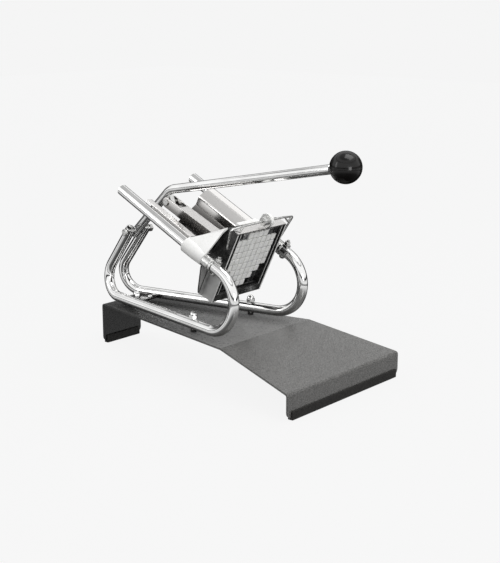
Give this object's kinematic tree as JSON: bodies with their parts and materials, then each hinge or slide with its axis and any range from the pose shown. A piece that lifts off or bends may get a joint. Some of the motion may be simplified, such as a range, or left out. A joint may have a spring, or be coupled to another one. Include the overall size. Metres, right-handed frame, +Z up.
{
  "type": "potato chipper",
  "caption": "Lever-operated potato chipper: a tubular stand on a bent base, a slanted trough, a studded pusher and a square blade grid.",
  "frame": {"origin": "On the table, under the middle of the machine's overall box", "axes": "+X towards the front, where the chips fall out; +Y to the left side; +Z up"},
  "size_m": [0.5386, 0.286, 0.383],
  "materials": {
    "chrome": "polished chrome plate",
    "stainless_sheet": "polished stainless sheet",
    "blade_steel": "ground stainless",
    "base_coating": "textured grey powder coat",
    "housing_paint": "pale grey enamel on a casting",
    "foot_rubber": "matt black",
    "ball_phenolic": "gloss black",
    "pusher_plastic": "satin off-white",
    "bolt_zinc": "bright zinc plate"
  },
  "bodies": {
    "frame": {"base_plate": "base_coating", "rear_rubber_foot": "foot_rubber", "front_rubber_foot": "foot_rubber", "frame_tube_left": "chrome", "frame_tube_right": "chrome", "tube_spacer_left": "bolt_zinc", "tube_spacer_right": "bolt_zinc", "dome_nut_left": "chrome", "dome_nut_right": "chrome", "base_bolt_left": "bolt_zinc", "base_bolt_right": "bolt_zinc", "clamp_bolt_left": "bolt_zinc", "clamp_bolt_right": "bolt_zinc", "clamp_nut_left": "bolt_zinc", "clamp_nut_right": "bolt_zinc", "guide_tube_left": "chrome", "guide_tube_right": "chrome", "guide_plug_left": "foot_rubber", "guide_plug_right": "foot_rubber", "rear_tie_plate": "stainless_sheet", "tie_spacer": "bolt_zinc", "tie_dome_nut": "chrome", "tie_bolt": "bolt_zinc", "tie_screw_left": "chrome", "tie_screw_right": "chrome", "cutter_housing": "housing_paint", "potato_trough": "stainless_sheet", "grid_frame": "blade_steel", "upright_blades": "blade_steel", "level_blades": "blade_steel", "pivot_washer_left": "bolt_zinc", "pivot_washer_right": "bolt_zinc", "pivot_bolt": "bolt_zinc", "pivot_nut": "bolt_zinc"},
    "lever": {"lever_tube": "chrome", "link_pin": "bolt_zinc", "ball_knob": "ball_phenolic", "knob_stud": "bolt_zinc"},
    "link": {"link_arm": "stainless_sheet"},
    "pusher": {"pusher_block": "pusher_plastic", "pusher_bracket": "stainless_sheet", "pusher_pin": "bolt_zinc"},
    "bail": {"bail_wire": "chrome"},
    "roller": {"bail_roller": "pusher_plastic"}
  },
  "joints": [
    {"name": "lever_swing", "type": "hinge", "parent": "frame", "child": "lever", "pos_m": [-0.2055, 0, 0.205], "axis": [0, -1, 0], "range_deg": [0, 57]},
    {"name": "link_pivot", "type": "hinge", "parent": "lever", "child": "link", "pos_m": [-0.1215, 0, 0.265], "axis": [0, -1, 0], "range_deg": [-57.2, 0.2]},
    {"name": "pusher_slide", "type": "slide", "parent": "frame", "child": "pusher", "axis": [-0.8988, 0, 0.4384], "range_m": [-0.0001, 0.0987]},
    {"name": "bail_swing", "type": "hinge", "parent": "frame", "child": "bail", "pos_m": [0.06568, 0, 0.2192], "axis": [0, 1, 0], "range_deg": [0, 105]},
    {"name": "roller_spin", "type": "hinge", "parent": "bail", "child": "roller", "pos_m": [0.08967, 0, 0.25812], "axis": [0, 1, 0], "continuous": true}
  ],
  "couplings": [
    {"joint": "link_pivot", "follows": "lever_swing", "ratio": -1},
    {"joint": "pusher_slide", "follows": "lever_swing", "m_per_rad": 0.099011}
  ]
}
